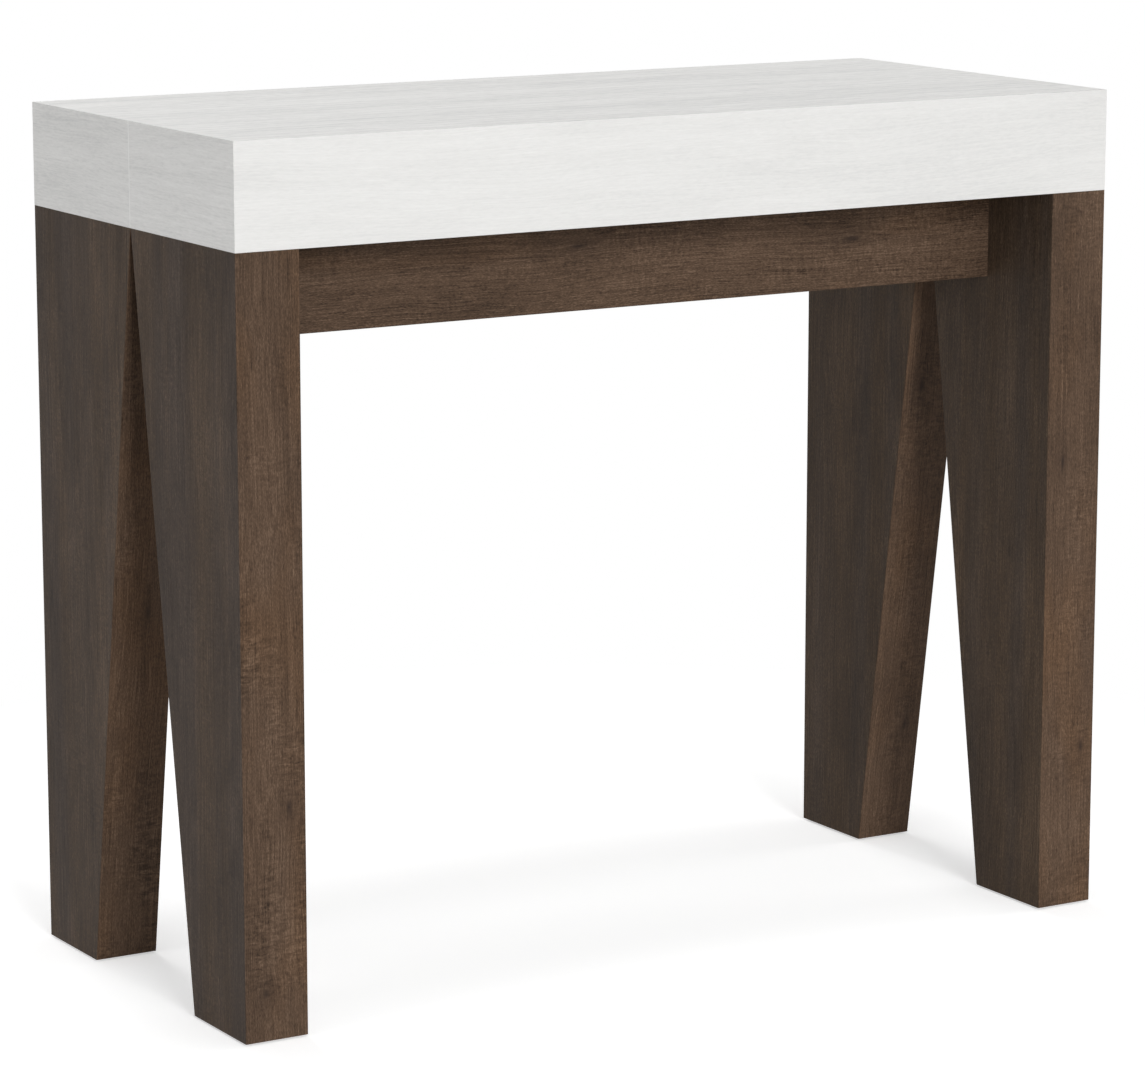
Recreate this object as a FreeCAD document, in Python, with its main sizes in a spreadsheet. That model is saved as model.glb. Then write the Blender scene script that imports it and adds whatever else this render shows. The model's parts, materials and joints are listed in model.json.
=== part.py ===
import FreeCAD, Part
import math
import os
import Sketcher

# Extending console table, in millimetres. X runs along the table's width, Y from the front to the rear and
# Z up from the floor. The origin is on the floor, under the middle of the closed table.
# The table parts across the middle: the front half, on its own two legs, pulls away from the rear half on
# two telescopic guides of aluminium rails that hang under the top.

doc = FreeCAD.newDocument("ExtendingConsole")
sheet = doc.addObject("Spreadsheet::Sheet", "Sizes")

SIZES = {
    # Whole table, closed
    "table_width": 900,
    "table_depth": 400,
    "table_height": 775,
    "seam_gap": 0.2,
    # Box-shaped top: boards mitred together along every outer edge
    "top_thickness": 22,
    "fascia_thickness": 22,
    "fascia_height": 93,
    # Legs, upright outside and sloping inside, and the crossbar between each pair
    "leg_thickness": 60,
    "leg_foot_width": 100,
    "leg_edge_radius": 1,
    "crossbar_setback": 99,
    "crossbar_thickness": 25,
    "crossbar_height": 88,
    "crossbar_edge_radius": 1,
    # Battens inside the top, and the bolts that pass through them into the legs
    "batten_width": 60,
    "batten_height": 30,
    "batten_seam_setback": 3,
    "leg_bolt_diameter": 8,
    "leg_bolt_bite": 50,
    "leg_bolt_inset": 50,
    "leg_bolt_flange_diameter": 18,
    "leg_bolt_flange_thickness": 2,
    "leg_bolt_head_diameter": 13,
    "leg_bolt_head_height": 6,
    # Cam fittings that draw the crossbar against the legs
    "cam_diameter": 15,
    "cam_depth": 12.5,
    "cam_inset": 34,
    "cam_bolt_diameter": 6,
    "cam_bolt_bite": 12,
    # Nailed glides under the feet
    "glide_diameter": 22,
    "glide_thickness": 2,
    "glide_spacing": 54,
    "glide_nail_diameter": 3,
    "glide_nail_length": 14,
    # Alignment pegs across the seam
    "peg_diameter": 8,
    "peg_reach": 20,
    "peg_spacing": 330,
    "peg_tip_chamfer": 1,
    "peg_clearance": 0.3,
    # Guide rails, counted from the outermost, which the rear half carries
    "rail_inset": 88,
    "rail_end_clearance": 3,
    "rail_width": 15,
    "rail_height": 44,
    "rail_gap": 0.5,
    "rail_wall": 2.5,
    "rail_corner": 1,
    "rail_clearance": 0.35,
    "rail_board_gap": 0.5,
    "slot_lip": 3,
    "slot_mouth": 8,
    "slot_depth": 4.2,
    "slot_height": 18,
    "guide_overlap": 100,
    "runner_length": 45,
    "stop_clearance": 0.5,
    "nylon_clearance": 0.2,
    "stop_pad_thickness": 2.8,
    # Screws that hang the fixed rails under the top
    "guide_screw_diameter": 4.4,
    "guide_screw_bite": 14,
    "guide_screw_head_diameter": 9,
    "guide_screw_head_height": 3,
    "guide_screw_inset": 22,
    # Swing locks across the seam, each a hooked lever on a shouldered screw
    "lock_offset": 110,
    "lock_reach": 44,
    "lever_thickness": 3,
    "lever_play": 0.3,
    "lever_hub_diameter": 20,
    "lever_arm_width": 12,
    "lever_head_width": 20,
    "lever_slot_width": 9.5,
    "lever_tail_length": 28,
    "lever_bore_clearance": 0.05,
    "lock_shoulder_diameter": 8,
    "lock_strike_diameter": 7,
    "lock_screw_diameter": 5,
    "lock_screw_bite": 15,
    "lock_head_diameter": 14,
    "lock_head_height": 2.5,
    # Slack round a shank or pin in the hole that holds it, and the overrun of every cut
    "hole_slack": 0.1,
    "cut_overrun": 5,
}
for row, (alias, number) in enumerate(SIZES.items(), start=1):
    sheet.set(f"A{row}", alias)
    sheet.set(f"B{row}", str(number))
    sheet.setAlias(f"B{row}", alias)
doc.recompute()

# Counts, and shares and angles of the piece that carries them
RAIL_COUNT = 7
PEGS_EACH_SIDE = 1
CAM_HEIGHT_SHARES = (0.25, 0.75)
GUIDE_SCREW_SHARES = (0, 0.5, 1)
LEVER_HEAD_ANGLES = (-14, 22)
LEVER_SLOT_ANGLES = (3, 40)
ROUNDED_EDGE_ANGLE = 30
HEX_CORNERS = 6

HALVES = {"rear": 1, "front": -1}
SIDES = {"left": -1, "right": 1}
FACING = {"XY_Plane": 1, "YZ_Plane": 1, "XZ_Plane": -1}

# Places that several pieces share, as expressions on the sheet
half_width = "Sizes.table_width / 2"
half_depth = "Sizes.table_depth / 2"
seam_face = "Sizes.seam_gap / 2"
inner_half_width = "(Sizes.table_width / 2 - Sizes.fascia_thickness)"
inner_half_depth = "(Sizes.table_depth / 2 - Sizes.fascia_thickness)"
top_face = "Sizes.table_height"
top_underside = "(Sizes.table_height - Sizes.top_thickness)"
leg_top = "(Sizes.table_height - Sizes.fascia_height)"
leg_bottom = "Sizes.glide_thickness"
leg_inner_face = "(Sizes.table_width / 2 - Sizes.leg_thickness)"
leg_middle = "(Sizes.table_width / 2 - Sizes.leg_thickness / 2)"
batten_top = f"({leg_top} + Sizes.batten_height)"
batten_inner_face = f"({inner_half_width} - Sizes.batten_width)"
crossbar_outer_face = "(Sizes.table_depth / 2 - Sizes.crossbar_setback)"
crossbar_inner_face = f"({crossbar_outer_face} - Sizes.crossbar_thickness)"
crossbar_middle = f"({crossbar_outer_face} - Sizes.crossbar_thickness / 2)"
leg_bolt_x = "(Sizes.table_width / 2 - (Sizes.fascia_thickness + Sizes.leg_thickness) / 2)"
foot_middle = "(Sizes.table_depth / 2 - Sizes.leg_foot_width / 2)"
rail_length = f"(2 * ({inner_half_depth} - Sizes.rail_end_clearance))"
rail_end = f"({inner_half_depth} - Sizes.rail_end_clearance)"
rail_pitch = "(Sizes.rail_width + Sizes.rail_gap)"
rail_top = f"({top_underside} - Sizes.rail_board_gap)"
rail_bottom = f"({rail_top} - Sizes.rail_height)"
rail_middle = f"({rail_top} - Sizes.rail_height / 2)"
rail_web = "(Sizes.rail_width - Sizes.slot_lip - Sizes.slot_depth)"
stop_pad_length = "(Sizes.guide_overlap - Sizes.runner_length - Sizes.stop_clearance)"
lever_top = f"({top_underside} - Sizes.lever_play)"
lever_bottom = f"({lever_top} - Sizes.lever_thickness)"
lock_screw_head_top = f"({lever_bottom} - Sizes.lever_play)"
lock_pivot_y = "-Sizes.lock_reach / 2"
lock_strike_y = "Sizes.lock_reach / 2"

pieces = []


def signed(sign, expression):
    return f"{sign} * ({expression})"


# A hole for a shank or pin, and how deep it goes: the size of what it holds and the slack round it
def bored(size):
    return f"Sizes.{size} + Sizes.hole_slack"


def new_body(label):
    body = doc.addObject("PartDesign::Body", label)
    body.Label = label
    pieces.append(body)
    return body


# Sketch helpers. On XY_Plane a sketch reads (X, Y), on YZ_Plane (Y, Z) and on XZ_Plane (X, Z).
def new_sketch(body, role, place):
    sketch = body.newObject("Sketcher::SketchObject", f"{body.Label}_sketch")
    plane = next(item for item in body.Origin.OriginFeatures if item.Role == role)
    sketch.AttachmentSupport = [(plane, "")]
    sketch.MapMode = "FlatFace"
    sketch.setExpression("AttachmentOffset.Base.z", signed(FACING[role], place))
    return sketch


def hold_point(sketch, geometry, point, x, y):
    for kind, expression in (("DistanceX", x), ("DistanceY", y)):
        index = sketch.addConstraint(Sketcher.Constraint(kind, -1, 1, geometry, point, 1.0))
        sketch.setExpression(f"Constraints[{index}]", expression)


def add_outline(sketch, corners):
    first = sketch.GeometryCount
    count = len(corners)
    turn = 2 * math.pi / count
    ring = [FreeCAD.Vector(math.cos(turn * i), math.sin(turn * i), 0) for i in range(count)]
    for i in range(count):
        sketch.addGeometry(Part.LineSegment(ring[i], ring[(i + 1) % count]))
    for i in range(count):
        sketch.addConstraint(Sketcher.Constraint("Coincident", first + i, 2, first + (i + 1) % count, 1))
    for i, (x, y) in enumerate(corners):
        hold_point(sketch, first + i, 1, x, y)


def add_circles(sketch, centres, diameter):
    for x, y in centres:
        circle = Part.Circle(FreeCAD.Vector(), FreeCAD.Vector(0, 0, 1), 1)
        geometry = sketch.addGeometry(circle)
        hold_point(sketch, geometry, 3, x, y)
        index = sketch.addConstraint(Sketcher.Constraint("Diameter", geometry, 1.0))
        sketch.setExpression(f"Constraints[{index}]", diameter)


def rectangle(x0, x1, y0, y1):
    return [(x0, y0), (x1, y0), (x1, y1), (x0, y1)]


def hexagon(centre, across_corners):
    x, y = centre
    corners = []
    for corner in range(HEX_CORNERS):
        angle = 2 * math.pi * corner / HEX_CORNERS
        x_share = math.cos(angle) / 2
        y_share = math.sin(angle) / 2
        corners.append((f"{x} + {x_share:.9f} * {across_corners}", f"{y} + {y_share:.9f} * {across_corners}"))
    return corners


def add_feature(body, kind, sketch, length, side="One side", back=False):
    feature = body.newObject(kind, f"{body.Label}_{kind.split('::')[1].lower()}")
    feature.Profile = sketch
    feature.SideType = side
    feature.Reversed = back
    feature.setExpression("Length", length)
    body.Tip = feature
    return feature


def pad_outline(body, role, place, outlines, length, side="One side", towards=1):
    sketch = new_sketch(body, role, place)
    for corners in outlines:
        add_outline(sketch, corners)
    return add_feature(body, "PartDesign::Pad", sketch, length, side, back=towards != FACING[role])


def cut_outline(body, role, place, corners, length, side="One side", towards=1):
    sketch = new_sketch(body, role, place)
    add_outline(sketch, corners)
    return add_feature(body, "PartDesign::Pocket", sketch, length, side, back=towards == FACING[role])


def pad_circles(body, role, place, centres, diameter, length, towards=1):
    sketch = new_sketch(body, role, place)
    add_circles(sketch, centres, diameter)
    return add_feature(body, "PartDesign::Pad", sketch, length, back=towards != FACING[role])


def drill(body, role, place, centres, diameter, depth, towards=1):
    sketch = new_sketch(body, role, place)
    add_circles(sketch, centres, diameter)
    return add_feature(body, "PartDesign::Pocket", sketch, depth, back=towards == FACING[role])


def round_edges_along(body, axis, radius):
    doc.recompute()
    base = body.Tip
    names = []
    for number, edge in enumerate(base.Shape.Edges, start=1):
        run = edge.Vertexes[-1].Point - edge.Vertexes[0].Point
        if run.Length and abs(run.dot(axis)) > math.cos(math.radians(ROUNDED_EDGE_ANGLE)) * run.Length:
            names.append(f"Edge{number}")
    fillet = body.newObject("PartDesign::Fillet", f"{body.Label}_fillet")
    fillet.Base = (base, names)
    fillet.setExpression("Radius", radius)
    body.Tip = fillet


# Top boards: a mitre along the outer edge and both ends, and a square edge at the seam
def make_top_board(half, sign):
    body = new_body(f"{half}_top_board")
    section = [
        (signed(-1, half_width), top_face),
        (half_width, top_face),
        (inner_half_width, top_underside),
        (signed(-1, inner_half_width), top_underside),
    ]
    depth = f"{half_depth} - {seam_face}"
    pad_outline(body, "XZ_Plane", signed(sign, seam_face), [section], depth, towards=sign)
    outside = signed(sign, f"{half_depth} + Sizes.cut_overrun")
    below = f"{top_underside} - Sizes.cut_overrun"
    mitre = [
        (signed(sign, half_depth), top_face),
        (signed(sign, inner_half_depth), top_underside),
        (signed(sign, inner_half_depth), below),
        (outside, below),
        (outside, top_face),
    ]
    cut_outline(body, "YZ_Plane", "0", mitre, "2 * Sizes.table_width", side="Symmetric")
    slack = "Sizes.peg_clearance" if half == "rear" else "Sizes.hole_slack"
    drill(
        body, "XZ_Plane", signed(sign, seam_face), peg_centres(), f"Sizes.peg_diameter + {slack}",
        f"Sizes.peg_reach + {slack} - {seam_face}", towards=sign,
    )
    drill(
        body, "XY_Plane", top_underside, guide_screw_centres(half),
        bored("guide_screw_diameter"), bored("guide_screw_bite"), towards=1,
    )
    drill(
        body, "XY_Plane", top_underside, lock_screw_centres(half),
        bored("lock_screw_diameter"), bored("lock_screw_bite"), towards=1,
    )


# Long fascia: mitred to the top board above and to the end fascias at both ends
def make_fascia(half, sign):
    body = new_body(f"{half}_fascia")
    section = [
        (signed(sign, half_depth), leg_top),
        (signed(sign, half_depth), top_face),
        (signed(sign, inner_half_depth), top_underside),
        (signed(sign, inner_half_depth), leg_top),
    ]
    pad_outline(body, "YZ_Plane", "0", [section], "Sizes.table_width", side="Symmetric")
    for side_sign in SIDES.values():
        inside = signed(sign, f"{inner_half_depth} - Sizes.cut_overrun")
        outside = signed(side_sign, f"{half_width} + Sizes.cut_overrun")
        mitre = [
            (signed(side_sign, half_width), signed(sign, half_depth)),
            (signed(side_sign, inner_half_width), signed(sign, inner_half_depth)),
            (signed(side_sign, inner_half_width), inside),
            (outside, inside),
            (outside, signed(sign, half_depth)),
        ]
        cut_outline(body, "XY_Plane", "0", mitre, "Sizes.table_height + Sizes.cut_overrun", towards=1)


# End fascia of one half: mitred to the top board and to the long fascia, and square at the seam
def make_end_fascia(half, sign, side, side_sign):
    body = new_body(f"{half}_{side}_end")
    section = [
        (signed(side_sign, half_width), leg_top),
        (signed(side_sign, half_width), top_face),
        (signed(side_sign, inner_half_width), top_underside),
        (signed(side_sign, inner_half_width), leg_top),
    ]
    depth = f"{half_depth} - {seam_face}"
    pad_outline(body, "XZ_Plane", signed(sign, seam_face), [section], depth, towards=sign)
    inside = signed(side_sign, f"{inner_half_width} - Sizes.cut_overrun")
    outside = signed(sign, f"{half_depth} + Sizes.cut_overrun")
    mitre = [
        (signed(side_sign, half_width), signed(sign, half_depth)),
        (signed(side_sign, inner_half_width), signed(sign, inner_half_depth)),
        (inside, signed(sign, inner_half_depth)),
        (inside, outside),
        (signed(side_sign, half_width), outside),
    ]
    cut_outline(body, "XY_Plane", "0", mitre, "Sizes.table_height + Sizes.cut_overrun", towards=1)


# Leg: upright along the outside of the table and sloping inside, from the seam down to a narrow foot
def make_leg(half, sign, side, side_sign):
    body = new_body(f"{half}_{side}_leg")
    profile = [
        (signed(sign, half_depth), leg_bottom),
        (signed(sign, half_depth), leg_top),
        (signed(sign, seam_face), leg_top),
        (signed(sign, f"{half_depth} - Sizes.leg_foot_width"), leg_bottom),
    ]
    middle = signed(side_sign, leg_middle)
    pad_outline(body, "YZ_Plane", middle, [profile], "Sizes.leg_thickness", side="Symmetric")
    round_edges_along(body, FreeCAD.Vector(0, 0, 1), "Sizes.leg_edge_radius")
    drill(
        body, "XY_Plane", leg_top, leg_bolt_centres(sign, [side_sign]),
        bored("leg_bolt_diameter"), bored("leg_bolt_bite"), towards=-1,
    )
    drill(
        body, "YZ_Plane", signed(side_sign, leg_inner_face), cam_bolt_centres(sign),
        bored("cam_bolt_diameter"), bored("cam_bolt_bite"), towards=side_sign,
    )
    drill(
        body, "XY_Plane", leg_bottom, glide_centres(sign, [side_sign]),
        bored("glide_nail_diameter"), bored("glide_nail_length"), towards=1,
    )


# Crossbar between the two legs of one half, bored for its cam fittings on the hidden side
def make_crossbar(half, sign):
    body = new_body(f"{half}_crossbar")
    section = rectangle(
        signed(sign, crossbar_inner_face), signed(sign, crossbar_outer_face),
        f"{leg_top} - Sizes.crossbar_height", leg_top,
    )
    pad_outline(body, "YZ_Plane", "0", [section], f"2 * {leg_inner_face}", side="Symmetric")
    round_edges_along(body, FreeCAD.Vector(1, 0, 0), "Sizes.crossbar_edge_radius")
    drill(
        body, "XZ_Plane", signed(sign, crossbar_inner_face), cam_centres(),
        bored("cam_diameter"), bored("cam_depth"), towards=sign,
    )
    for side_sign in SIDES.values():
        drill(
            body, "YZ_Plane", signed(side_sign, leg_inner_face), cam_bolt_centres(sign),
            bored("cam_bolt_diameter"), "Sizes.cam_inset", towards=-side_sign,
        )


# Batten along the inside of an end fascia, over the leg, with clearance holes for the leg's bolts
def make_batten(half, sign, side, side_sign):
    body = new_body(f"{half}_{side}_batten")
    plan = rectangle(
        signed(side_sign, batten_inner_face), signed(side_sign, inner_half_width),
        signed(sign, f"{seam_face} + Sizes.batten_seam_setback"), signed(sign, inner_half_depth),
    )
    pad_outline(body, "XY_Plane", leg_top, [plan], "Sizes.batten_height")
    drill(
        body, "XY_Plane", leg_top, leg_bolt_centres(sign, [side_sign]),
        bored("leg_bolt_diameter"), "Sizes.batten_height + Sizes.cut_overrun", towards=1,
    )


# Centres of the fasteners, used for the fasteners and for their holes
def peg_centres():
    middle_of_board = f"{top_face} - Sizes.top_thickness / 2"
    steps = range(-PEGS_EACH_SIDE, PEGS_EACH_SIDE + 1)
    return [(f"{step} * Sizes.peg_spacing", middle_of_board) for step in steps]


def leg_bolt_centres(sign, side_signs):
    outer = signed(sign, f"{inner_half_depth} - Sizes.leg_bolt_inset")
    inner = signed(sign, f"{seam_face} + Sizes.leg_bolt_inset")
    return [(signed(side, leg_bolt_x), y) for side in side_signs for y in (outer, inner)]


def cam_heights():
    return [f"{leg_top} - {share} * Sizes.crossbar_height" for share in CAM_HEIGHT_SHARES]


def cam_bolt_centres(sign):
    return [(signed(sign, crossbar_middle), z) for z in cam_heights()]


def cam_centres():
    place = f"{leg_inner_face} - Sizes.cam_inset"
    return [(signed(side, place), z) for side in SIDES.values() for z in cam_heights()]


def glide_centres(sign, side_signs):
    near = signed(sign, f"{foot_middle} - Sizes.glide_spacing / 2")
    far = signed(sign, f"{foot_middle} + Sizes.glide_spacing / 2")
    return [(signed(side, leg_middle), y) for side in side_signs for y in (near, far)]


def guide_screw_centres(half):
    rail = 0 if half == "rear" else RAIL_COUNT - 1
    sign = HALVES[half]
    first = "Sizes.guide_screw_inset"
    last = f"({rail_end} - Sizes.guide_screw_inset)"
    rows = [signed(sign, f"{first} + {share} * ({last} - {first})") for share in GUIDE_SCREW_SHARES]
    column = rail_face(rail, f"{rail_web} / 2")
    return [(signed(side, column), y) for side in SIDES.values() for y in rows]


def lock_screw_centres(half):
    y = lock_strike_y if half == "rear" else lock_pivot_y
    return [(signed(side, "Sizes.lock_offset"), y) for side in SIDES.values()]


# Distance from the table's middle to a line inside a rail, counted inwards from the rail's outer face
def rail_face(rail, inwards="0"):
    return f"({half_width} - Sizes.rail_inset - {rail} * {rail_pitch} - ({inwards}))"


def make_leg_bolts(half, sign):
    body = new_body(f"{half}_leg_bolts")
    centres = leg_bolt_centres(sign, SIDES.values())
    tip = f"{leg_top} - Sizes.leg_bolt_bite"
    pad_circles(body, "XY_Plane", tip, centres, "Sizes.leg_bolt_diameter", f"{batten_top} - ({tip})")
    pad_circles(
        body, "XY_Plane", batten_top, centres,
        "Sizes.leg_bolt_flange_diameter", "Sizes.leg_bolt_flange_thickness",
    )
    seat = f"{batten_top} + Sizes.leg_bolt_flange_thickness"
    heads = [hexagon(centre, "Sizes.leg_bolt_head_diameter") for centre in centres]
    pad_outline(body, "XY_Plane", seat, heads, "Sizes.leg_bolt_head_height")


def make_cams(half, sign):
    body = new_body(f"{half}_crossbar_cams")
    face = signed(sign, crossbar_inner_face)
    pad_circles(
        body, "XZ_Plane", face, cam_centres(), "Sizes.cam_diameter", "Sizes.cam_depth", towards=sign,
    )


def make_cam_bolts(half, sign):
    body = new_body(f"{half}_cam_bolts")
    reach = "Sizes.cam_inset - Sizes.cam_diameter / 2 - Sizes.hole_slack"
    for side_sign in SIDES.values():
        tip = signed(side_sign, f"{leg_inner_face} + Sizes.cam_bolt_bite")
        pad_circles(
            body, "YZ_Plane", tip, cam_bolt_centres(sign), "Sizes.cam_bolt_diameter",
            f"Sizes.cam_bolt_bite + {reach}", towards=-side_sign,
        )


def make_glides(half, sign):
    body = new_body(f"{half}_foot_glides")
    centres = glide_centres(sign, SIDES.values())
    pad_circles(body, "XY_Plane", "0", centres, "Sizes.glide_diameter", "Sizes.glide_thickness")
    pad_circles(
        body, "XY_Plane", leg_bottom, centres, "Sizes.glide_nail_diameter", "Sizes.glide_nail_length",
    )


def make_pegs():
    body = new_body("alignment_pegs")
    start = "-Sizes.peg_reach"
    length = "2 * Sizes.peg_reach"
    pad_circles(body, "XZ_Plane", start, peg_centres(), "Sizes.peg_diameter", length, towards=1)
    doc.recompute()
    shanks = body.Tip
    rims = []
    for number, edge in enumerate(shanks.Shape.Edges, start=1):
        if edge.Curve.TypeId == "Part::GeomCircle":
            rims.append(f"Edge{number}")
    chamfer = body.newObject("PartDesign::Chamfer", "alignment_pegs_chamfer")
    chamfer.Base = (shanks, rims)
    chamfer.setExpression("Size", "Sizes.peg_tip_chamfer")
    body.Tip = chamfer


# Guide rails: each is an extrusion with two closed chambers, a T-slot towards the middle of the table and a
# T-shaped rib, towards the table's end, that runs in the slot of the rail before it.
def rail_section(rail, side_sign):
    def at(inwards, upwards):
        return signed(side_sign, rail_face(rail, inwards)), f"{rail_middle} + ({upwards})"

    half_height = "Sizes.rail_height / 2"
    corner = "Sizes.rail_corner"
    width = "Sizes.rail_width"
    outer_side = [
        at(corner, f"-{half_height}"),
        at("0", f"-{half_height} + {corner}"),
        at("0", f"{half_height} - {corner}"),
        at(corner, half_height),
    ]
    inner_top = [at(f"{width} - {corner}", half_height), at(width, f"{half_height} - {corner}")]
    inner_bottom = [at(width, f"-{half_height} + {corner}"), at(f"{width} - {corner}", f"-{half_height}")]
    slot = []
    if rail < RAIL_COUNT - 1:
        lip = f"{width} - Sizes.slot_lip"
        mouth = "Sizes.slot_mouth / 2"
        height = "Sizes.slot_height / 2"
        slot = [
            at(width, mouth),
            at(lip, mouth),
            at(lip, height),
            at(rail_web, height),
            at(rail_web, f"-{height}"),
            at(lip, f"-{height}"),
            at(lip, f"-{mouth}"),
            at(width, f"-{mouth}"),
        ]
    outline = outer_side + inner_top + slot + inner_bottom
    wall = "Sizes.rail_wall"
    low = f"Sizes.slot_height / 2 + {wall}"
    high = f"{half_height} - {wall}"
    chambers = []
    for up in SIDES.values():
        near = signed(up, low)
        far = signed(up, high)
        inner_wall = f"{width} - {wall}"
        chambers.append([at(wall, near), at(inner_wall, near), at(inner_wall, far), at(wall, far)])
    return [outline] + chambers


# T-shape that fits the slot of the rail outside it with a given clearance, its head cut short at both ends
def tee_section(rail, side_sign, clearance, head_cut):
    def at(outwards, upwards):
        return signed(side_sign, rail_face(rail, f"-({outwards})")), f"{rail_middle} + ({upwards})"

    neck = f"(Sizes.slot_mouth / 2 - {clearance})"
    head = f"(Sizes.slot_height / 2 - {head_cut} - {clearance})"
    shoulder = f"(Sizes.rail_gap + Sizes.slot_lip + {clearance})"
    crown = f"(Sizes.rail_gap + Sizes.slot_lip + Sizes.slot_depth - {clearance})"
    return [
        at("0", f"-{neck}"),
        at("0", neck),
        at(shoulder, neck),
        at(shoulder, head),
        at(crown, head),
        at(crown, f"-{head}"),
        at(shoulder, f"-{head}"),
        at(shoulder, f"-{neck}"),
    ]


def make_rail(label, rail, side_sign):
    body = new_body(label)
    pad_outline(body, "XZ_Plane", rail_end, rail_section(rail, side_sign), rail_length, towards=-1)
    if rail > 0:
        rib = tee_section(rail, side_sign, "Sizes.rail_clearance", "Sizes.stop_pad_thickness")
        start = f"{rail_end} - Sizes.runner_length"
        pad_outline(body, "XZ_Plane", start, [rib], f"{rail_length} - Sizes.runner_length", towards=-1)
    return body


# A fixed rail also has a raised land under its own half of the top, and the holes for its screws
def finish_fixed_rail(body, half, rail, side_sign):
    sign = HALVES[half]
    land = rectangle(
        signed(side_sign, rail_face(rail, "Sizes.rail_corner")),
        signed(side_sign, rail_face(rail, "Sizes.rail_width - Sizes.rail_corner")),
        signed(sign, "Sizes.batten_seam_setback"),
        signed(sign, rail_end),
    )
    pad_outline(body, "XY_Plane", rail_top, [land], "Sizes.rail_board_gap")
    centres = [c for c in guide_screw_centres(half) if c[0].startswith(f"{side_sign} *")]
    drill(
        body, "XY_Plane", rail_bottom, centres, bored("guide_screw_diameter"),
        "Sizes.rail_height + Sizes.rail_board_gap + Sizes.cut_overrun", towards=1,
    )


# Nylon runner at the rear end of a rail's rib
def add_runner(body, rail, side_sign):
    block = tee_section(rail, side_sign, "Sizes.nylon_clearance", "0")
    pad_outline(body, "XZ_Plane", rail_end, [block], "Sizes.runner_length", towards=-1)


# Two nylon pads at the front end of a rail's slot: the next rib passes between them, but its runner can't
def add_stop_pads(body, rail, side_sign):
    outer = signed(side_sign, rail_face(rail, rail_web))
    inner = signed(side_sign, rail_face(rail, "Sizes.rail_width - Sizes.slot_lip"))
    pads = []
    for up in SIDES.values():
        wall = f"{rail_middle} + {up} * Sizes.slot_height / 2"
        face = f"{rail_middle} + {up} * (Sizes.slot_height / 2 - Sizes.stop_pad_thickness)"
        pads.append(rectangle(outer, inner, face, wall))
    pad_outline(body, "XZ_Plane", signed(-1, rail_end), pads, stop_pad_length, towards=1)


def make_guides():
    last = RAIL_COUNT - 1
    rear_pads = new_body("rear_stop_pads")
    front_runners = new_body("front_runners")
    for side, side_sign in SIDES.items():
        rear_rail = make_rail(f"{side}_rear_rail", 0, side_sign)
        finish_fixed_rail(rear_rail, "rear", 0, side_sign)
        add_stop_pads(rear_pads, 0, side_sign)
        for stage in range(1, last):
            make_rail(f"{side}_stage_{stage}_rail", stage, side_sign)
            sliders = new_body(f"{side}_stage_{stage}_sliders")
            add_runner(sliders, stage, side_sign)
            add_stop_pads(sliders, stage, side_sign)
        front_rail = make_rail(f"{side}_front_rail", last, side_sign)
        finish_fixed_rail(front_rail, "front", last, side_sign)
        add_runner(front_runners, last, side_sign)


def make_guide_screws(half):
    body = new_body(f"{half}_guide_screws")
    centres = guide_screw_centres(half)
    length = "Sizes.rail_height + Sizes.rail_board_gap + Sizes.guide_screw_bite"
    pad_circles(body, "XY_Plane", rail_bottom, centres, "Sizes.guide_screw_diameter", length)
    pad_circles(
        body, "XY_Plane", rail_bottom, centres,
        "Sizes.guide_screw_head_diameter", "Sizes.guide_screw_head_height", towards=-1,
    )


# Shouldered screws of the swing locks: the front pair are pivots and the rear pair are strikes
def make_lock_screws(label, half, shoulder):
    body = new_body(label)
    centres = lock_screw_centres(half)
    pad_circles(
        body, "XY_Plane", top_underside, centres, "Sizes.lock_screw_diameter", "Sizes.lock_screw_bite",
    )
    shoulder_height = f"{top_underside} - {lock_screw_head_top}"
    pad_circles(body, "XY_Plane", top_underside, centres, shoulder, shoulder_height, towards=-1)
    pad_circles(
        body, "XY_Plane", lock_screw_head_top, centres,
        "Sizes.lock_head_diameter", "Sizes.lock_head_height", towards=-1,
    )


# Hooked lever: a hub, an arm, a head with a slot curved about the pivot, and a tail to push with a finger.
# It is drawn about its pivot with the arm along +X, which is how the left lock is stored.
def disc(name, diameter, start_angle=0, sweep=360):
    shape = doc.addObject("Part::Cylinder", name)
    shape.setExpression("Radius", f"({diameter}) / 2")
    shape.setExpression("Height", "Sizes.lever_thickness")
    shape.Angle = sweep
    shape.Placement.Rotation = FreeCAD.Rotation(FreeCAD.Vector(0, 0, 1), start_angle)
    return shape


def bar(name, start, length, width):
    shape = doc.addObject("Part::Box", name)
    shape.setExpression("Length", length)
    shape.setExpression("Width", width)
    shape.setExpression("Height", "Sizes.lever_thickness")
    shape.setExpression("Placement.Base.x", start)
    shape.setExpression("Placement.Base.y", f"-({width}) / 2")
    return shape


def joined(kind, name, base, tool):
    shape = doc.addObject(kind, name)
    shape.Base = base
    shape.Tool = tool
    return shape


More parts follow.
